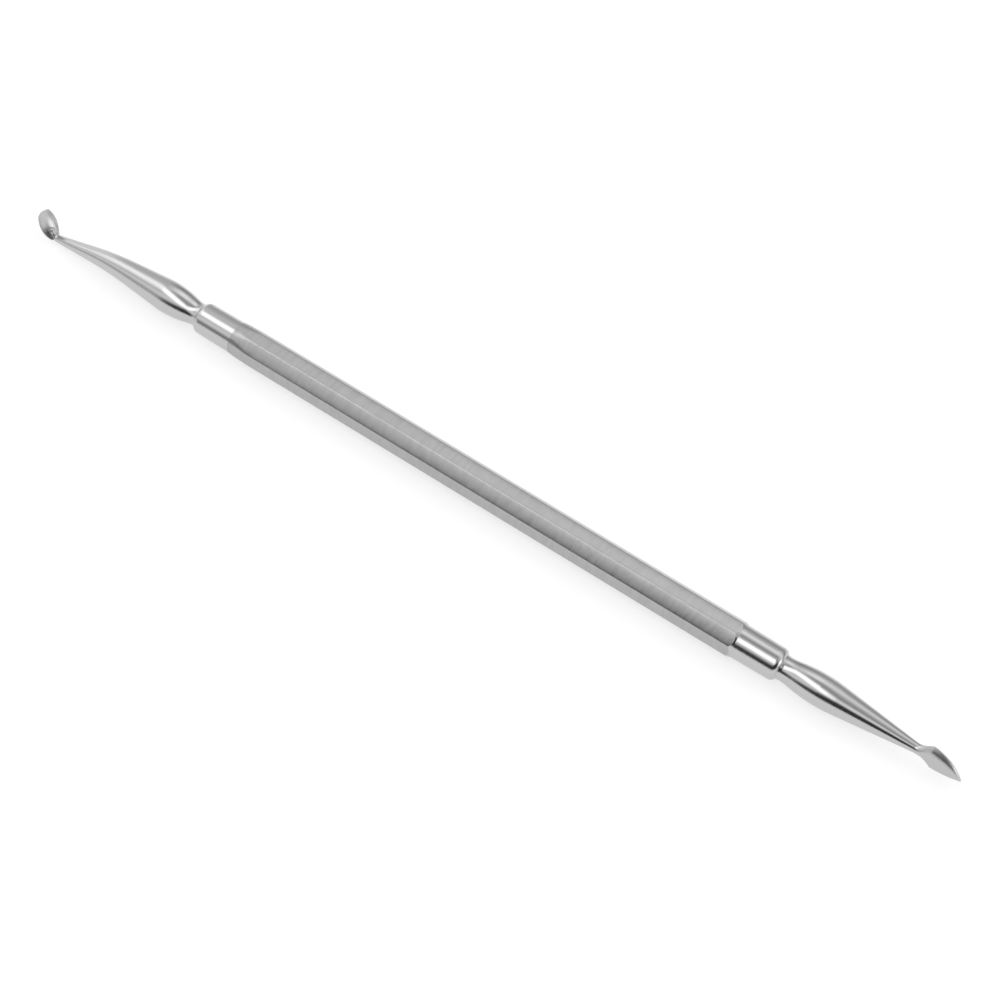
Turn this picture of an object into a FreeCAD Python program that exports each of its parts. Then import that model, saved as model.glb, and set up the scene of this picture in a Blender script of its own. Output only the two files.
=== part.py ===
import FreeCAD, Part
import math
import os

# Double-ended blackhead extractor in stainless steel, in millimetres.
# The tool lies along X with the lancet at +X and the spoon at -X, resting on the handle's lowest flat.
# The origin is the middle of that flat, Z is up, and the tool's axis runs parallel to it.

# Octagonal handle tube
handle_length = 82.2
handle_across_flats = 5.0
handle_corner_radius = 0.3
handle_bore_diameter = 3.6
handle_bore_lead_in = 0.15
handle_end_lip = 0.03
spoon_end_taper_angle = 4.0
lancet_end_bevel_angle = 22.0

# Turned collars, alike at both ends
collar_length = 6.4
collar_root_diameter = 4.78
collar_end_diameter = 4.66
collar_rim_length = 0.78
collar_rim_lip = 0.02
spigot_length = 9.0
spigot_lead_in = 0.4

# Solder film between each bore and what sits in it, on the radius
solder_gap = 0.01

# Tangs and necks, alike on both tips
tang_diameter = 2.0
tang_length = 13.0
tang_lead_in = 0.3
neck_diameter = 3.43
neck_distance = 0.45
neck_root_diameter = 3.62

# Lancet tip, distances measured from the collar's end face
lancet_belly_diameter = 4.4
lancet_belly_distance = 5.75
lancet_belly_share = 0.72
lancet_belly_back_radius = 21.0
lancet_shank_diameter = 1.42
lancet_shank_length = 19.6

# Spear blade of the lancet, standing in the tool's upright middle plane
blade_flare_length = 2.4
blade_top_flare_slope = 0.25
blade_low_flare_slope = 1.0
blade_shoulder_skew = 9.0
blade_top_shoulder = 2.17
blade_low_shoulder = 1.97
blade_length = 4.25
blade_point_drop = 1.2
blade_point_width = 0.06
blade_top_crown = 0.7
blade_low_crown = 0.22
blade_thickness = 1.4
blade_point_thickness = 0.16
blade_bevel_width = 1.0
blade_ridge_lean = 12.0
blade_face_swell = 0.05
blade_root_ridge_lean = 40.0

# Spoon tip, distances measured from the collar's end face
spoon_belly_diameter = 4.78
spoon_belly_distance = 5.7
spoon_belly_share = 0.76
spoon_belly_back_radius = 13.0
spoon_shank_diameter = 1.16
spoon_shank_length = 26.25
spoon_bend_distance = 12.5
spoon_bend_length = 7.0
spoon_bend_angle = 10.0
spoon_root_turn = 75.0
spoon_root_radius = 1.1
spoon_nub_diameter = 0.98
spoon_nub_length = 0.33

# Dished spoon at the turned-up end of its shank, distances measured along it from the nub's middle
spoon_pitch_angle = 59.0
spoon_end_distance = 3.185
spoon_end_crown = 0.22
spoon_end_width = 2.1
spoon_corner_radius = 0.2
spoon_widest_distance = 1.135
spoon_width = 3.0
spoon_heel = 1.415
spoon_hollow_depth = 0.45
spoon_wall = 0.35
spoon_rim_wall = 0.15
spoon_trim = 0.05

# Sides of the handle, and cross sections that each lofted stretch runs through
octagon_sides = 8
blade_flare_steps = 6
blade_head_steps = 8
shank_bend_steps = 4

# Values worked out from the sizes above
axis_height = handle_across_flats / 2
half_facet_angle = math.pi / octagon_sides
corner_reach = (axis_height - handle_corner_radius) / math.cos(half_facet_angle) + handle_corner_radius
handle_end_radius = collar_root_diameter / 2 + handle_end_lip
bore_radius = handle_bore_diameter / 2
tang_bore_radius = tang_diameter / 2 + solder_gap
collar_face = handle_length / 2 + collar_length
X_AXIS = FreeCAD.Vector(1, 0, 0)
Y_AXIS = FreeCAD.Vector(0, 1, 0)


def on_axis(distance, radius):
    """Point of a turned profile: distance along X, radius above the tool's axis."""
    return FreeCAD.Vector(distance, 0, axis_height + radius)


def turned(edges):
    """Solid turned about the tool's axis from the edges of a closed half profile."""
    face = Part.Face(Part.Wire(Part.__sortEdges__(edges)))
    return face.revolve(on_axis(0, 0), X_AXIS, 360)


def lines(points):
    """Straight edges through the points, in order."""
    return [Part.makeLine(first, second) for first, second in zip(points, points[1:])]


def arc(first, middle, last):
    """Edge of the circular arc through three points."""
    return Part.Arc(first, middle, last).toShape()


def facing_spoon(shape):
    """The same turned shape at the other end of the tool."""
    return shape.mirror(FreeCAD.Vector(0, 0, 0), X_AXIS)


def make_handle_tube():
    """Octagonal bar with rounded corners, turned down at both ends and bored through."""
    half_length = handle_length / 2
    corners = []
    reach = axis_height / math.cos(half_facet_angle)
    for index in range(octagon_sides + 1):
        turn = (2 * index + 1) * half_facet_angle
        outward = FreeCAD.Vector(0, math.sin(turn), math.cos(turn))
        corners.append(on_axis(-half_length, 0) + outward * reach)
    bar = Part.Face(Part.makePolygon(corners)).extrude(X_AXIS * handle_length)
    long_edges = [edge for edge in bar.Edges if edge.Length > handle_across_flats]
    bar = bar.makeFillet(handle_corner_radius, long_edges)

    # The ends are turned to cones that run out on the octagon's corners.
    cone_rise = corner_reach - handle_end_radius
    taper_start = -half_length + cone_rise / math.tan(math.radians(spoon_end_taper_angle))
    bevel_start = half_length - cone_rise / math.tan(math.radians(lancet_end_bevel_angle))
    envelope = turned(lines([
        on_axis(-half_length, 0),
        on_axis(-half_length, handle_end_radius),
        on_axis(taper_start, corner_reach),
        on_axis(bevel_start, corner_reach),
        on_axis(half_length, handle_end_radius),
        on_axis(half_length, 0),
        on_axis(-half_length, 0),
    ]))
    mouth = bore_radius + handle_bore_lead_in
    bore = turned(lines([
        on_axis(-half_length, 0),
        on_axis(-half_length, mouth),
        on_axis(-half_length + handle_bore_lead_in, bore_radius),
        on_axis(half_length - handle_bore_lead_in, bore_radius),
        on_axis(half_length, mouth),
        on_axis(half_length, 0),
        on_axis(-half_length, 0),
    ]))
    return bar.common(envelope).cut(bore)


def make_collar():
    """Collar of the lancet end: a bored barrel with a rounded rim and a spigot that fills the tube."""
    root = handle_length / 2
    spigot_radius = bore_radius - solder_gap
    root_radius = collar_root_diameter / 2
    end_radius = collar_end_diameter / 2
    rim_drop = end_radius - neck_root_diameter / 2 - collar_rim_lip
    half_sweep = math.atan2(rim_drop, collar_rim_length)
    rim_radius = collar_rim_length / math.sin(2 * half_sweep)
    rim_start_distance = collar_face - collar_rim_length
    rim_start = on_axis(rim_start_distance, end_radius)
    rim_middle = on_axis(
        rim_start_distance + rim_radius * math.sin(half_sweep),
        end_radius - rim_radius * (1 - math.cos(half_sweep)),
    )
    rim_end = on_axis(collar_face, end_radius - rim_drop)
    edges = lines([
        rim_end,
        on_axis(collar_face, tang_bore_radius),
        on_axis(root - spigot_length, tang_bore_radius),
        on_axis(root - spigot_length, spigot_radius - spigot_lead_in),
        on_axis(root - spigot_length + spigot_lead_in, spigot_radius),
        on_axis(root, spigot_radius),
        on_axis(root, root_radius),
        rim_start,
    ])
    edges.append(arc(rim_start, rim_middle, rim_end))
    return turned(edges)


def tangent_point(centre, radius, outside):
    """Point (distance, radius) where a line from an outside point touches the back of a belly arc."""
    along = outside[0] - centre[0]
    across = outside[1] - centre[1]
    bearing = math.atan2(across, along)
    opening = math.acos(radius / math.hypot(along, across))
    return (
        centre[0] + radius * math.cos(bearing + opening),
        centre[1] + radius * math.sin(bearing + opening),
    )


def tip_body(
    belly_diameter, belly_distance, belly_share, back_radius, shank_diameter, shank_length, cut_distance
):
    """Turned tang, neck, belly and cone of a tip up to a cut, with the cone's radius and slope there."""
    neck_radius = neck_diameter / 2
    belly_radius = belly_diameter / 2
    rise = belly_radius - neck_radius
    run = belly_distance - neck_distance
    sweep = 2 * math.atan2(rise, run)
    belly_front_radius = belly_share * run / math.sin(sweep)
    neck_arc_radius = (1 - belly_share) * run / math.sin(sweep)

    def at(distance, radius):
        return on_axis(collar_face + distance, radius)

    def neck_arc(turn):
        return at(
            neck_distance + neck_arc_radius * math.sin(turn),
            neck_radius + neck_arc_radius * (1 - math.cos(turn)),
        )

    def belly_arc(turn, arc_radius):
        return at(
            belly_distance + arc_radius * math.sin(turn),
            belly_radius - arc_radius * (1 - math.cos(turn)),
        )

    # The cone leaves the belly's back at a tangent and reaches the shank's end diameter at its length.
    centre = (belly_distance, belly_radius - back_radius)
    leave = tangent_point(centre, back_radius, (shank_length, shank_diameter / 2))
    leave_turn = math.asin((leave[0] - belly_distance) / back_radius)
    cone_slope = (shank_diameter / 2 - leave[1]) / (shank_length - leave[0])
    cut_radius = leave[1] + cone_slope * (cut_distance - leave[0])

    tang_radius = tang_diameter / 2
    edges = lines([
        at(cut_distance, cut_radius),
        at(cut_distance, 0),
        at(-tang_length, 0),
        at(-tang_length, tang_radius - tang_lead_in),
        at(-tang_length + tang_lead_in, tang_radius),
        at(0, tang_radius),
        at(0, neck_root_diameter / 2),
        neck_arc(0),
    ])
    edges.append(arc(neck_arc(0), neck_arc(sweep / 2), neck_arc(sweep)))
    edges.append(arc(
        neck_arc(sweep),
        belly_arc(-sweep / 2, belly_front_radius),
        belly_arc(0, belly_front_radius),
    ))
    edges.append(arc(
        belly_arc(0, back_radius),
        belly_arc(leave_turn / 2, back_radius),
        belly_arc(leave_turn, back_radius),
    ))
    edges.append(Part.makeLine(belly_arc(leave_turn, back_radius), at(cut_distance, cut_radius)))
    return turned(edges), cut_radius, cone_slope


def mix(first, last, share):
    """Value between two values, at a share of the way."""
    return first + (last - first) * share


def eased(first, last, first_slope, last_slope, length, share):
    """Value on a smooth curve between two values, with its own slope at each end of a length."""
    rest = 1 - share
    return (
        first * rest * rest * (1 + 2 * share)
        + last * share * share * (1 + 2 * rest)
        + length * share * rest * (first_slope * rest - last_slope * share)
    )


def bowed(first, last, crown):
    """Height along an arc between two (distance, height) points, bowed up, or down for a negative crown."""
    chord = math.dist(first, last)
    radius = (chord ** 2 / 4 + crown ** 2) / (2 * abs(crown))
    reach = crown - math.copysign(radius, crown)
    centre_distance = (first[0] + last[0]) / 2 - reach * (last[1] - first[1]) / chord
    centre_height = (first[1] + last[1]) / 2 + reach * (last[0] - first[0]) / chord

    def height(distance):
        rise = math.sqrt(radius ** 2 - (distance - centre_distance) ** 2)
        return centre_height + math.copysign(rise, crown)

    return height


def blade_section(station, skew, high, low, bevel_width, ridge_height, ridge_lean, face_height):
    """Closed outline across the blade: two faces, and four bevels that each arc from a ridge to an edge."""
    centre = on_axis(collar_face + lancet_shank_length + station, 0)
    upward = FreeCAD.Vector(-math.sin(skew), 0, math.cos(skew))
    fall = ridge_height * math.cos(ridge_lean) - bevel_width * math.sin(ridge_lean)
    bevel_radius = (bevel_width ** 2 + ridge_height ** 2) / (2 * fall)
    edge_lean = math.asin(bevel_width / bevel_radius + math.sin(ridge_lean))
    middle_lean = (ridge_lean + edge_lean) / 2
    middle_width = bevel_radius * (math.sin(middle_lean) - math.sin(ridge_lean))
    middle_height = ridge_height + bevel_radius * (math.cos(middle_lean) - math.cos(ridge_lean))

    def place(height, side):
        return centre + upward * height - Y_AXIS * side

    def bevel_arc(edge, side, outward):
        ridge = edge - outward * bevel_width
        middle = place(ridge + outward * middle_width, side * middle_height)
        return (place(edge, 0), middle, place(ridge, side * ridge_height))

    edges = []
    for side in (1, -1):
        top_bevel = bevel_arc(high, side, 1)
        low_bevel = bevel_arc(low, side, -1)
        face = (top_bevel[2], place((high + low) / 2, side * face_height), low_bevel[2])
        stretches = [top_bevel, face, low_bevel[::-1]]
        if side < 0:
            stretches = [points[::-1] for points in reversed(stretches)]
        edges.extend(arc(*points) for points in stretches)
    return Part.Wire(edges)


def make_lancet_tip():
    """Turned tip whose thin end flares into an upright spear blade with rounded bevels."""
    body, root_radius, root_slope = tip_body(
        lancet_belly_diameter, lancet_belly_distance, lancet_belly_share, lancet_belly_back_radius,
        lancet_shank_diameter, lancet_shank_length, lancet_shank_length,
    )
    skew = math.radians(blade_shoulder_skew)
    half_thickness = blade_thickness / 2
    face_share = 1 + blade_face_swell
    ridge_lean = math.radians(blade_ridge_lean)
    root_lean = math.radians(blade_root_ridge_lean)

    # From the round shank to the shoulders the edges spread along hollow curves, and the bevels ease in.
    flare = []
    for step in range(blade_flare_steps + 1):
        share = step / blade_flare_steps
        ease = eased(0, 1, 0, 0, 1, share)
        high = eased(
            root_radius, blade_top_shoulder, root_slope, blade_top_flare_slope, blade_flare_length, share
        )
        low = -eased(
            root_radius, blade_low_shoulder, root_slope, blade_low_flare_slope, blade_flare_length, share
        )
        flare.append(blade_section(
            share * blade_flare_length,
            share * skew,
            high,
            low,
            mix(root_radius * (1 - math.sin(root_lean)), blade_bevel_width, ease),
            mix(root_radius * math.cos(root_lean), half_thickness, ease),
            mix(root_lean, ridge_lean, ease),
            mix(root_radius, half_thickness * face_share, ease),
        ))

    # From the shoulders to the point the edges close in along arcs, and the blade thins as it narrows.
    half_point = blade_point_width / 2
    point_top = (blade_length, half_point - blade_point_drop)
    point_low = (blade_length, -half_point - blade_point_drop)
    top_edge = bowed((0, blade_top_shoulder), point_top, blade_top_crown)
    low_edge = bowed((0, -blade_low_shoulder), point_low, -blade_low_crown)
    shoulder_width = blade_top_shoulder + blade_low_shoulder
    head = []
    for step in range(blade_head_steps + 1):
        distance = blade_length * math.sin(math.pi / 2 * step / blade_head_steps)
        high = top_edge(distance)
        low = low_edge(distance)
        share = (high - low) / shoulder_width
        ridge_height = mix(blade_point_thickness / 2, half_thickness, share)
        head.append(blade_section(
            blade_flare_length + distance,
            skew,
            high,
            low,
            share * blade_bevel_width,
            ridge_height,
            ridge_lean,
            ridge_height * face_share,
        ))
    return body.fuse([Part.makeLoft(flare, True), Part.makeLoft(head, True)]).removeSplitter()


def toward_spoon(dip):
    """Direction toward the spoon's end, dipping below the tool's axis by an angle."""
    return FreeCAD.Vector(-math.cos(dip), 0, -math.sin(dip))


def bent_shank(start, first_dip, last_dip, bend_radius, first_radius, last_radius, ruled):
    """Round tapered shank along an arc from one dip to another, and the middle of its far end."""
    turn_sign = math.copysign(1, last_dip - first_dip)
    inward = FreeCAD.Vector(math.sin(first_dip), 0, -math.cos(first_dip)) * turn_sign
    pivot = start + inward * bend_radius
    rings = []
    for step in range(shank_bend_steps + 1):
        share = step / shank_bend_steps
        dip = mix(first_dip, last_dip, share)
        outward = FreeCAD.Vector(-math.sin(dip), 0, math.cos(dip)) * turn_sign
        centre = pivot + outward * bend_radius
        ring = Part.makeCircle(mix(first_radius, last_radius, share), centre, toward_spoon(dip))
        rings.append(Part.Wire(ring))
    return Part.makeLoft(rings, True, ruled), centre


def make_spoon_tip():
    """Turned tip with a bent tapered shank and a small dished spoon turned up at its end."""
    body, start_radius, _ = tip_body(
        spoon_belly_diameter, spoon_belly_distance, spoon_belly_share, spoon_belly_back_radius,
        spoon_shank_diameter, spoon_shank_length, spoon_bend_distance,
    )
    body = facing_spoon(body)
    bend = math.radians(spoon_bend_angle)
    bend_radius = spoon_bend_length / bend
    straight = (spoon_shank_length - spoon_bend_distance - bend_radius * math.sin(bend)) / math.cos(bend)
    shank_taper = (start_radius - spoon_shank_diameter / 2) / (spoon_bend_length + straight)
    straight_start_radius = start_radius - shank_taper * spoon_bend_length
    bend_start = FreeCAD.Vector(-collar_face - spoon_bend_distance, 0, axis_height)

    # The shank curves down from the axis, runs straight, and turns up into the spoon's heel.
    droop, droop_end = bent_shank(
        bend_start, 0, bend, bend_radius, start_radius, straight_start_radius, True
    )
    heading = toward_spoon(bend)
    cone = Part.makeCone(straight_start_radius, spoon_shank_diameter / 2, straight, droop_end, heading)
    root_start = droop_end + heading * straight
    rise = bend - math.radians(spoon_root_turn)
    nub_radius = spoon_nub_diameter / 2
    root, root_end = bent_shank(
        root_start, bend, rise, spoon_root_radius, spoon_shank_diameter / 2, nub_radius, False
    )
    nub = Part.makeCylinder(nub_radius, spoon_nub_length, root_end, toward_spoon(rise))
    shank_end = root_end + toward_spoon(rise) * spoon_nub_length
    nub_end = Part.makeSphere(nub_radius, shank_end)
    return body.fuse([droop, cone, root, nub, nub_end, make_spoon(shank_end)]).removeSplitter()


def make_spoon(shank_end):
    """Dished spoon whose hollow face looks up and back along the tool, with the shank's end at its heel."""
    pitch = math.radians(spoon_pitch_angle)
    along = FreeCAD.Vector(-math.cos(pitch), 0, math.sin(pitch))
    facing = FreeCAD.Vector(math.sin(pitch), 0, math.cos(pitch))

    def place(distance, width, height=0):
        return shank_end + along * distance + Y_AXIS * width + facing * height

    # Each side is one arc, widest where the spoon is, and the heel is an arc tangent to both.
    half_width = spoon_width / 2
    half_end = spoon_end_width / 2
    corner_distance = spoon_end_distance - spoon_end_crown
    draw_in = half_width - half_end
    side_radius = ((corner_distance - spoon_widest_distance) ** 2 + draw_in ** 2) / (2 * draw_in)
    side_offset = side_radius - half_width
    reach = side_radius - spoon_heel
    heel_square = reach ** 2 - spoon_widest_distance ** 2 - side_offset ** 2
    heel_centre = heel_square / (2 * (reach - spoon_widest_distance))
    heel_radius = heel_centre + spoon_heel
    lean = math.atan2(side_offset, spoon_widest_distance - heel_centre)
    touch_distance = heel_centre - heel_radius * math.cos(lean)
    touch_width = heel_radius * math.sin(lean)

    def side_arc(side):
        return arc(
            place(touch_distance, side * touch_width),
            place(spoon_widest_distance, side * half_width),
            place(corner_distance, side * half_end),
        )

    end_arc = arc(
        place(corner_distance, half_end), place(spoon_end_distance, 0), place(corner_distance, -half_end)
    )
    heel_arc = arc(
        place(touch_distance, touch_width), place(-spoon_heel, 0), place(touch_distance, -touch_width)
    )
    outline = Part.Face(Part.Wire(Part.__sortEdges__([side_arc(1), end_arc, side_arc(-1), heel_arc])))
    floor_depth = spoon_hollow_depth + spoon_wall
    blank_height = floor_depth + spoon_trim + spoon_hollow_depth
    outline.translate(facing * -(floor_depth + spoon_trim))
    blank = outline.extrude(facing * blank_height)
    corner_edges = []
    for edge in blank.Edges:
        middle = edge.CenterOfMass - shank_end
        if abs(edge.Length - blank_height) < 1e-6 and middle.dot(along) > spoon_widest_distance:
            corner_edges.append(edge)
    blank = blank.makeFillet(spoon_corner_radius, corner_edges)

    # Hollow and back are bowed along and across the spoon, and leave a wall that thins to the rim.
    half_length = (spoon_end_distance + spoon_heel) / 2
    middle = half_length - spoon_heel
    block_top = spoon_hollow_depth + spoon_trim
    block_edge = half_width + spoon_trim

    def bowed_block(depth, rim_depth):
        sag = depth - rim_depth
        across_radius = (half_width ** 2 + sag ** 2) / (2 * sag)
        along_radius = (half_length ** 2 + sag ** 2) / (2 * sag)
        edge_height = across_radius - math.sqrt(across_radius ** 2 - block_edge ** 2) - depth
        right = place(middle, -block_edge, edge_height)
        left = place(middle, block_edge, edge_height)
        right_top = place(middle, -block_edge, block_top)
        left_top = place(middle, block_edge, block_top)
        edges = lines([right, right_top, left_top, left])
        edges.append(arc(left, place(middle, 0, -depth), right))
        section = Part.Face(Part.Wire(edges))
        pivot = place(middle, 0, along_radius - depth)
        half_turn = 2 * math.degrees(math.asin(half_length / along_radius))
        section.rotate(pivot, Y_AXIS, -half_turn)
        return section.revolve(pivot, Y_AXIS, 2 * half_turn)

    back = bowed_block(floor_depth, spoon_rim_wall)
    hollow = bowed_block(spoon_hollow_depth, 0)
    return blank.common(back).cut(hollow)


def make_parts():
    """Every piece of the tool, by its name."""
    return {
        "handle_tube": make_handle_tube(),
        "lancet_end_collar": make_collar(),
        "spoon_end_collar": facing_spoon(make_collar()),
        "lancet_tip": make_lancet_tip(),
        "spoon_tip": make_spoon_tip(),
    }


os.makedirs("parts", exist_ok=True)
for name, shape in make_parts().items():
    state = "valid" if shape.isValid() else "not valid"
    print(name, state, "solids", len(shape.Solids), "volume", round(shape.Volume, 3))
    shape.exportStep("parts/" + name + ".step")
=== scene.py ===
import math

import bpy
from mathutils import Matrix, Vector


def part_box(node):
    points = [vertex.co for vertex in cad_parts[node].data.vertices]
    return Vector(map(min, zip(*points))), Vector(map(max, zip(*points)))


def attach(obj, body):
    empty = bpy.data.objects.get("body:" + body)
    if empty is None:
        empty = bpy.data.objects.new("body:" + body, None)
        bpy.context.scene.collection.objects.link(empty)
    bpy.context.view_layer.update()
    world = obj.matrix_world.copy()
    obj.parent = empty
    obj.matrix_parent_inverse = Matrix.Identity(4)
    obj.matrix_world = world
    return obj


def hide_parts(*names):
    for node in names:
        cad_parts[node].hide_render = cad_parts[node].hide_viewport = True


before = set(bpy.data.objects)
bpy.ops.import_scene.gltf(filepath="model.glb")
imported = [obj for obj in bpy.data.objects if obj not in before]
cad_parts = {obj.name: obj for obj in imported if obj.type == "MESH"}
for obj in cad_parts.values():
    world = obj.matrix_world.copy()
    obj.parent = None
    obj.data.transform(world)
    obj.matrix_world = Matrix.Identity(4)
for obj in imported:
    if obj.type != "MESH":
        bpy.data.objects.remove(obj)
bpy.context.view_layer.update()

# Camera fitted to the photograph: tilt along the tool, roll about it, turn in the picture and lens
CAMERA_TILT = math.radians(15.5)
CAMERA_ROLL = math.radians(36.0)
PICTURE_TURN = math.radians(31.14)
CAMERA_DISTANCE = 0.27611
CAMERA_TARGET = Vector((0.00378, 0.0, 0.0025))
TARGET_LOWER = 0.00039
SENSOR_WIDTH = 36.0
LENS = 73.95

# Octagonal handle with slightly crowned flats
HANDLE_SIDES = 8
FLAT_CROWN_RADIUS = 0.010
CORNER_RADIUS = 0.0004
HANDLE_END_RADIUS = 0.00242
SPOON_END_TAPER = math.radians(4.0)
LANCET_END_BEVEL = math.radians(22.0)
BORE_RADIUS = 0.0018
BORE_LEAD_IN = 0.00015
TAPER_LENGTH = 0.008
TAPER_STEPS = 14
TAPER_BLEND = 0.00003
FLAT_STEPS = 8
CORNER_STEPS = 6

# Where the polish gives way to a softer finish, along the tool
SOFT_DISH_END = -0.0745
SOFT_DISH_START = -0.0730
SOFT_BLADE_START = 0.066
SOFT_BLADE_END = 0.069

# Widest gap closed along the seam of the spoon's mesh
SEAM_GAP = 0.000012

# Finishes: grey tone, roughness, and noise scales in cells per metre along each axis
SATIN_TONE = 0.46
SATIN_ROUGHNESS = 0.3
SATIN_ANISOTROPY = 0.9
QUARTER_TURN = 0.25
GRAIN_SCALE = (1900, 500, 500)
GRAIN_DETAIL = 6.0
GRAIN_TONES = (0.2, 0.8, 0.42, 0.47)
RIPPLE_SCALE = (900, 260, 260)
RIPPLE_DETAIL = 5.0
RIPPLE_STRENGTH = 0.5
RIPPLE_HEIGHT = 0.00012
POLISHED_TONE = 0.54
POLISHED_ROUGHNESS = 0.2
DISH_EXTRA_ROUGHNESS = 0.13
BLADE_ROUGHNESS = 0.36

# Studio: directions have a share along the tool, and a lean in degrees from upright toward the front
BASE_LEVEL = 0.68
STRIP_NORMAL = (0.664, 0.612, 0.430)
STRIP_EDGES = (-0.27, -0.10, 0.05, 0.20)
STRIP_SPOON_FADE = (-0.65, -0.40, 0.22, 1.0)
STRIP_LANCET_FADE = (-0.10, 0.28, 1.0, 0.0)
STRIP_COLLAR_SPAN = (-0.25, -0.12, -0.05, 0.05)
STRIP_COLLAR_LIFT = 15.0
STRIP_FRONT_FADE = (56, 70, 1.0, 0.0)
STRIP_LEVEL = 1.7
RIGHT_END_FADE = (-0.50, -0.25)
PALE_WALL_LEANS = (-58, -34, -20, -6)
PALE_WALL_LEVELS = (-0.2, 0.0, 0.8, 0.4)
DIM_BACK_LEANS = (-95, -80, -62, -48)
DIM_BACK_LEVEL = -0.2
DIM_TOP_EDGES = (0.18, 0.30, 0.42, 0.56)
DIM_TOP_LEVEL = -0.3
PALE_FRONT_LEANS = (34, 46, 58, 70)
PALE_FRONT_LEVELS = (-0.4, 0.1, 0.3, 0.1)
FAR_LEFT_LEANS = (-28, -8, 18, 36)
FAR_LEFT_LEVELS = (-0.68, -0.52, 0.65, 0.0)
DARK_FRONT_LEANS = (58, 75)
DARK_FRONT_SHARES = (-0.58, -0.30, 0.15, 1.0)
DARK_FRONT_LEVEL = 0.03
DARK_LIFT_FADE = (-0.35, 0.30)
DARK_LIFT = 18.0
DARK_FAR_LIFT_FADE = (0.30, 0.55)
DARK_FAR_LIFT = 22.0
SIDE_LIGHT = (0.97, 0.0, 0.17)
SIDE_LIGHT_FADE = (0.91, 0.99)
SIDE_LIGHT_LEVEL = 1.5

# Stage
FLOOR_SIZE = 6.0
FLOOR_DROP = 0.00002
FLOOR_TONE = 0.38
FLOOR_GLOW = 0.7


def make_camera():
    """Camera at the photograph's place, looking down on the tool with its lancet to the lower right."""
    back = Vector((
        math.sin(CAMERA_TILT),
        -math.cos(CAMERA_TILT) * math.sin(CAMERA_ROLL),
        math.cos(CAMERA_TILT) * math.cos(CAMERA_ROLL),
    ))
    along = (Vector((1, 0, 0)) - math.sin(CAMERA_TILT) * back) / math.cos(CAMERA_TILT)
    across = along.cross(back)
    right = math.cos(PICTURE_TURN) * along - math.sin(PICTURE_TURN) * across
    up = -math.sin(PICTURE_TURN) * along - math.cos(PICTURE_TURN) * across
    data = bpy.data.cameras.new("camera")
    data.sensor_width = SENSOR_WIDTH
    data.lens = LENS
    data.clip_start = 0.01
    data.clip_end = 50.0
    camera = bpy.data.objects.new("camera", data)
    place = CAMERA_TARGET + across * TARGET_LOWER + back * CAMERA_DISTANCE
    turn = Matrix((right, up, back)).transposed()
    camera.matrix_world = Matrix.Translation(place) @ turn.to_4x4()
    bpy.context.scene.collection.objects.link(camera)
    bpy.context.scene.camera = camera


class Nodes:
    """Short hand for building a node tree."""

    def __init__(self, tree):
        self.tree = tree
        self.tree.nodes.clear()

    def add(self, kind, **settings):
        node = self.tree.nodes.new(kind)
        for name, value in settings.items():
            setattr(node, name, value)
        return node

    def link(self, source, target):
        self.tree.links.new(source, target)

    def value(self, operation, first, second=0.0, third=0.0):
        """Math node whose inputs are sockets or numbers, and its output."""
        node = self.add("ShaderNodeMath", operation=operation)
        for socket, item in zip(node.inputs, (first, second, third)):
            if isinstance(item, (int, float)):
                socket.default_value = item
            else:
                self.link(item, socket)
        return node.outputs[0]

    def fade(self, source, low, high, low_value=0.0, high_value=1.0):
        """Smooth change from one value to another between two levels of the source."""
        node = self.add("ShaderNodeMapRange", interpolation_type="SMOOTHSTEP")
        self.link(source, node.inputs["Value"])
        node.inputs["From Min"].default_value = low
        node.inputs["From Max"].default_value = high
        node.inputs["To Min"].default_value = low_value
        node.inputs["To Max"].default_value = high_value
        return node.outputs["Result"]

    def band(self, source, rise_low, rise_high, fall_low, fall_high):
        """One between the two middle levels of the source, fading to nothing outside."""
        rise = self.fade(source, rise_low, rise_high)
        fall = self.fade(source, fall_low, fall_high, 1.0, 0.0)
        return self.value("MULTIPLY", rise, fall)

    def dot(self, vector, direction):
        """Dot product of a vector socket and a fixed direction."""
        node = self.add("ShaderNodeVectorMath", operation="DOT_PRODUCT")
        self.link(vector, node.inputs[0])
        node.inputs[1].default_value = Vector(direction).normalized()
        return node.outputs["Value"]

    def mix(self, share, first, second):
        """Value between two values or sockets, at a share given by a socket."""
        node = self.add("ShaderNodeMix", data_type="FLOAT")
        for name, item in (("Factor", share), ("A", first), ("B", second)):
            if isinstance(item, (int, float)):
                node.inputs[name].default_value = item
            else:
                self.link(item, node.inputs[name])
        return node.outputs["Result"]


def new_material(name):
    material = bpy.data.materials.new(name)
    material.use_nodes = True
    nodes = Nodes(material.node_tree)
    output = nodes.add("ShaderNodeOutputMaterial")
    return material, nodes, output


def steel_shader(nodes, output, tone, roughness):
    shader = nodes.add("ShaderNodeBsdfPrincipled")
    shader.inputs["Base Color"].default_value = (tone, tone, tone, 1)
    shader.inputs["Metallic"].default_value = 1.0
    shader.inputs["Roughness"].default_value = roughness
    nodes.link(shader.outputs["BSDF"], output.inputs["Surface"])
    return shader


def stretched_noise(nodes, scale, detail):
    """Noise in the tool's own coordinates, with its own scale along each axis in cells per metre."""
    coordinates = nodes.add("ShaderNodeTexCoord")
    mapping = nodes.add("ShaderNodeMapping")
    mapping.inputs["Scale"].default_value = scale
    nodes.link(coordinates.outputs["Object"], mapping.inputs["Vector"])
    noise = nodes.add("ShaderNodeTexNoise")
    noise.inputs["Scale"].default_value = 1.0
    noise.inputs["Detail"].default_value = detail
    nodes.link(mapping.outputs["Vector"], noise.inputs["Vector"])
    return noise.outputs["Fac"]


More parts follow.
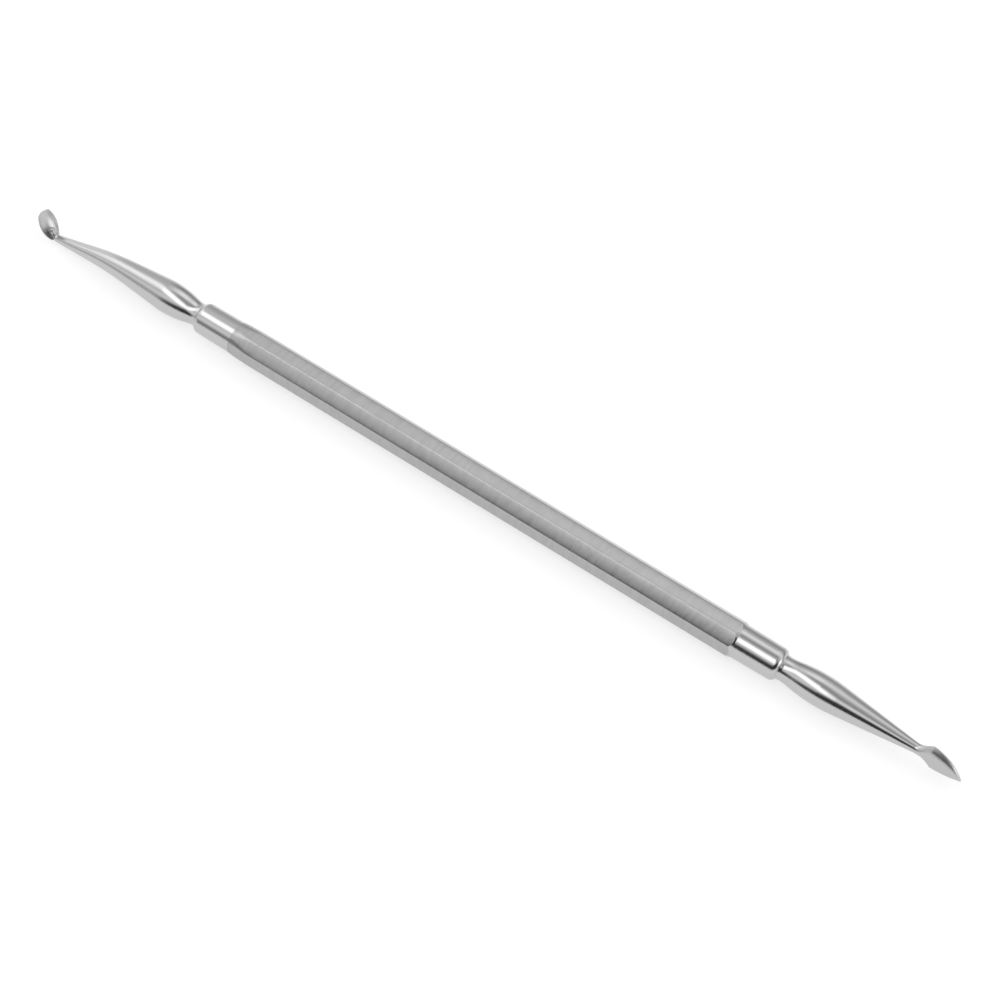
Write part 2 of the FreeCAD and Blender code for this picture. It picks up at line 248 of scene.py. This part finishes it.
def satin_steel():
    """Handle: steel brushed round the bar, so that its gloss spreads along the bar."""
    material, nodes, output = new_material("satin_steel")
    shader = steel_shader(nodes, output, SATIN_TONE, SATIN_ROUGHNESS)
    shader.inputs["Anisotropic"].default_value = SATIN_ANISOTROPY
    shader.inputs["Anisotropic Rotation"].default_value = QUARTER_TURN
    tangent = nodes.add("ShaderNodeTangent", direction_type="RADIAL", axis="X")
    nodes.link(tangent.outputs["Tangent"], shader.inputs["Tangent"])
    grain = stretched_noise(nodes, GRAIN_SCALE, GRAIN_DETAIL)
    nodes.link(nodes.fade(grain, *GRAIN_TONES), shader.inputs["Base Color"])
    ripple = stretched_noise(nodes, RIPPLE_SCALE, RIPPLE_DETAIL)
    bump = nodes.add("ShaderNodeBump")
    bump.inputs["Strength"].default_value = RIPPLE_STRENGTH
    bump.inputs["Distance"].default_value = RIPPLE_HEIGHT
    nodes.link(ripple, bump.inputs["Height"])
    nodes.link(bump.outputs["Normal"], shader.inputs["Normal"])
    return material


def polished_steel():
    """Collars and tips: mirror-polished steel, left softer on the spoon's dish and the lancet's blade."""
    material, nodes, output = new_material("polished_steel")
    shader = steel_shader(nodes, output, POLISHED_TONE, POLISHED_ROUGHNESS)
    coordinates = nodes.add("ShaderNodeTexCoord")
    split = nodes.add("ShaderNodeSeparateXYZ")
    nodes.link(coordinates.outputs["Object"], split.inputs["Vector"])
    place = split.outputs["X"]
    dish = nodes.fade(place, SOFT_DISH_END, SOFT_DISH_START, DISH_EXTRA_ROUGHNESS, 0.0)
    blade = nodes.fade(place, SOFT_BLADE_START, SOFT_BLADE_END, POLISHED_ROUGHNESS, BLADE_ROUGHNESS)
    nodes.link(nodes.value("ADD", dish, blade), shader.inputs["Roughness"])
    return material


def make_floor():
    """Pale floor that reads as white and keeps the tool's soft shadow."""
    half = FLOOR_SIZE / 2
    mesh = bpy.data.meshes.new("floor")
    corners = [
        (-half, -half, -FLOOR_DROP),
        (half, -half, -FLOOR_DROP),
        (half, half, -FLOOR_DROP),
        (-half, half, -FLOOR_DROP),
    ]
    mesh.from_pydata(corners, [], [(0, 1, 2, 3)])
    floor = bpy.data.objects.new("floor", mesh)
    bpy.context.scene.collection.objects.link(floor)
    material, nodes, output = new_material("pale_floor")
    diffuse = nodes.add("ShaderNodeBsdfDiffuse")
    diffuse.inputs["Color"].default_value = (FLOOR_TONE, FLOOR_TONE, FLOOR_TONE, 1)
    glow = nodes.add("ShaderNodeEmission")
    glow.inputs["Color"].default_value = (1, 1, 1, 1)
    path = nodes.add("ShaderNodeLightPath")
    seen = nodes.value("MAXIMUM", path.outputs["Is Camera Ray"], path.outputs["Is Glossy Ray"])
    seen = nodes.value("MAXIMUM", seen, path.outputs["Is Transmission Ray"])
    strength = nodes.value("MULTIPLY", seen, FLOOR_GLOW)
    nodes.link(strength, glow.inputs["Strength"])
    both = nodes.add("ShaderNodeAddShader")
    nodes.link(diffuse.outputs["BSDF"], both.inputs[0])
    nodes.link(glow.outputs["Emission"], both.inputs[1])
    nodes.link(both.outputs["Shader"], output.inputs["Surface"])
    mesh.materials.append(material)


def make_studio():
    """White surroundings for the camera, with a slanting softbox, a side light and dim walls."""
    world = bpy.data.worlds.new("studio")
    bpy.context.scene.world = world
    world.use_nodes = True
    nodes = Nodes(world.node_tree)
    output = nodes.add("ShaderNodeOutputWorld")
    background = nodes.add("ShaderNodeBackground")
    nodes.link(background.outputs["Background"], output.inputs["Surface"])

    coordinates = nodes.add("ShaderNodeTexCoord")
    ray = coordinates.outputs["Generated"]
    split = nodes.add("ShaderNodeSeparateXYZ")
    nodes.link(ray, split.inputs["Vector"])
    along = split.outputs["X"]
    front = nodes.value("MULTIPLY", split.outputs["Y"], -1.0)
    lean = nodes.value("DEGREES", nodes.value("ARCTAN2", front, split.outputs["Z"]))

    # Softbox: a long band of light whose plane has this normal, fading toward both ends of the tool
    offset = nodes.dot(ray, STRIP_NORMAL)
    strip = nodes.band(offset, *STRIP_EDGES)
    strip = nodes.value("MULTIPLY", strip, nodes.fade(along, *STRIP_SPOON_FADE))
    strip = nodes.value("MULTIPLY", strip, nodes.fade(along, *STRIP_LANCET_FADE))
    collar_side = nodes.band(along, *STRIP_COLLAR_SPAN)
    strip_lean = nodes.value("MULTIPLY_ADD", collar_side, STRIP_COLLAR_LIFT, lean)
    strip = nodes.value("MULTIPLY", strip, nodes.fade(strip_lean, *STRIP_FRONT_FADE))

    # Right-hand end: a pale wall behind, between dimmer stretches
    right_end = nodes.fade(along, *RIGHT_END_FADE)
    pale = nodes.band(lean, *PALE_WALL_LEANS)
    dim_back = nodes.band(lean, *DIM_BACK_LEANS)
    dim_top = nodes.band(offset, *DIM_TOP_EDGES)
    pale = nodes.value("MULTIPLY", pale, nodes.fade(along, *PALE_WALL_LEVELS))
    wall = nodes.value("ADD", pale, BASE_LEVEL)
    wall = nodes.value("MULTIPLY_ADD", dim_back, DIM_BACK_LEVEL, wall)
    wall = nodes.value("MULTIPLY_ADD", dim_top, DIM_TOP_LEVEL, wall)
    level = nodes.mix(right_end, BASE_LEVEL, wall)
    level = nodes.value("MULTIPLY_ADD", strip, STRIP_LEVEL, level)

    # Paler stretches: in front, above the dark, and high up beyond the spoon
    pale_front = nodes.band(lean, *PALE_FRONT_LEANS)
    pale_front = nodes.value("MULTIPLY", pale_front, nodes.fade(along, *PALE_FRONT_LEVELS))
    level = nodes.value("ADD", level, pale_front)
    far_left = nodes.band(lean, *FAR_LEFT_LEANS)
    far_left = nodes.value("MULTIPLY", far_left, nodes.fade(along, *FAR_LEFT_LEVELS))
    level = nodes.value("ADD", level, far_left)

    # Front: dark from above the horizon down, higher toward the lancet and paler toward the spoon
    front_lean = nodes.value("MULTIPLY_ADD", nodes.fade(along, *DARK_LIFT_FADE), DARK_LIFT, lean)
    far_lift = nodes.fade(along, *DARK_FAR_LIFT_FADE)
    front_lean = nodes.value("MULTIPLY_ADD", far_lift, DARK_FAR_LIFT, front_lean)
    dark = nodes.fade(front_lean, *DARK_FRONT_LEANS)
    dark = nodes.value("MULTIPLY", dark, nodes.fade(along, *DARK_FRONT_SHARES))
    level = nodes.mix(dark, level, DARK_FRONT_LEVEL)

    # Side light beyond the lancet
    toward = nodes.dot(ray, SIDE_LIGHT)
    side = nodes.fade(toward, *SIDE_LIGHT_FADE)
    level = nodes.value("MULTIPLY_ADD", side, SIDE_LIGHT_LEVEL, level)

    path = nodes.add("ShaderNodeLightPath")
    shown = nodes.mix(path.outputs["Is Camera Ray"], level, 1.0)
    nodes.link(shown, background.inputs["Strength"])
    background.inputs["Color"].default_value = (1, 1, 1, 1)


def handle_outline(half_height):
    """Points (angle, radius) once round the handle: crowned flats that meet in rounded corners."""
    half_side = math.pi / HANDLE_SIDES
    crown_centre = half_height - FLAT_CROWN_RADIUS
    inner = FLAT_CROWN_RADIUS - CORNER_RADIUS
    corner_centre = (
        crown_centre * math.cos(half_side)
        + math.sqrt(inner ** 2 - (crown_centre * math.sin(half_side)) ** 2)
    )
    lean = math.asin(corner_centre * math.sin(half_side) / inner)
    touch_across = FLAT_CROWN_RADIUS * math.sin(lean)
    touch_up = crown_centre + FLAT_CROWN_RADIUS * math.cos(lean)
    touch_angle = math.atan2(touch_across, touch_up)

    def flat_radius(angle):
        across = crown_centre * math.sin(angle)
        return crown_centre * math.cos(angle) + math.sqrt(FLAT_CROWN_RADIUS ** 2 - across ** 2)

    def corner_radius(angle):
        across = corner_centre * math.sin(angle)
        return corner_centre * math.cos(angle) + math.sqrt(max(CORNER_RADIUS ** 2 - across ** 2, 0.0))

    points = []
    for side in range(HANDLE_SIDES):
        middle = 2 * half_side * side
        for step in range(FLAT_STEPS):
            angle = touch_angle * (2 * step / FLAT_STEPS - 1)
            points.append((middle + angle, flat_radius(angle)))
        for step in range(CORNER_STEPS):
            angle = (half_side - touch_angle) * (2 * step / CORNER_STEPS - 1)
            points.append((middle + half_side + angle, corner_radius(angle)))
    return points


def make_handle(material, bevel_material):
    """Handle with crowned flats, cones at its ends and a bore, in place of the plain solid.

    The short bevel at the lancet end is polished with the collar beside it.
    """
    low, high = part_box("handle_tube")
    axis_height = (low[2] + high[2]) / 2
    outline = handle_outline((high[2] - low[2]) / 2)
    count = len(outline)

    def ring(place):
        """One ring of vertices, from a function of the outline's radius that gives (distance, radius)."""
        vertices = []
        for angle, reach in outline:
            distance, radius = place(reach)
            vertices.append((distance, radius * math.sin(angle), axis_height + radius * math.cos(angle)))
        return vertices

    def taper_ring(distance):
        """Ring at a distance from the spoon end, where the flats grow softly out of the cone."""
        cone = HANDLE_END_RADIUS + distance * math.tan(SPOON_END_TAPER)

        def place(reach):
            radius = (cone + reach - math.hypot(cone - reach, TAPER_BLEND)) / 2
            return low[0] + distance, radius

        return ring(place)

    mouth = BORE_RADIUS + BORE_LEAD_IN
    rings = [taper_ring(TAPER_LENGTH * (step / TAPER_STEPS) ** 2) for step in range(TAPER_STEPS + 1)]
    smooth_rings = range(1, len(rings))
    bevel_ring = len(rings)
    rings += [
        ring(lambda reach: (high[0] - (reach - HANDLE_END_RADIUS) / math.tan(LANCET_END_BEVEL), reach)),
        ring(lambda reach: (high[0], HANDLE_END_RADIUS)),
        ring(lambda reach: (high[0], mouth)),
        ring(lambda reach: (high[0] - BORE_LEAD_IN, BORE_RADIUS)),
        ring(lambda reach: (low[0] + BORE_LEAD_IN, BORE_RADIUS)),
        ring(lambda reach: (low[0], mouth)),
    ]
    faces = []
    for first in range(len(rings)):
        second = (first + 1) % len(rings)
        for index in range(count):
            following = (index + 1) % count
            faces.append((
                first * count + index,
                second * count + index,
                second * count + following,
                first * count + following,
            ))
    mesh = bpy.data.meshes.new("handle")
    mesh.from_pydata([vertex for vertices in rings for vertex in vertices], [], faces)
    mesh.polygons.foreach_set("use_smooth", [True] * len(faces))
    for edge in mesh.edges:
        first, second = edge.vertices
        same_ring = first // count == second // count
        edge.use_edge_sharp = same_ring and first // count not in smooth_rings
    mesh.materials.append(material)
    mesh.materials.append(bevel_material)
    for index in range(count):
        mesh.polygons[bevel_ring * count + index].material_index = 1
    mesh.update()
    handle = bpy.data.objects.new("handle", mesh)
    bpy.context.scene.collection.objects.link(handle)
    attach(handle, "root")
    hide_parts("handle_tube")


def dress(node, material):
    """Gives a CAD node its finish."""
    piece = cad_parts[node]
    piece.data.materials.clear()
    piece.data.materials.append(material)


def close_seam(node):
    """Joins the mesh points of a CAD node that nearly coincide, which closes its seam."""
    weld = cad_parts[node].modifiers.new("close_seam", "WELD")
    weld.merge_threshold = SEAM_GAP


satin = satin_steel()
polished = polished_steel()
make_handle(satin, polished)
for node in ("lancet_end_collar", "spoon_end_collar", "lancet_tip", "spoon_tip"):
    dress(node, polished)
close_seam("spoon_tip")
make_floor()
make_studio()
make_camera()
bpy.context.scene.view_settings.view_transform = "Standard"
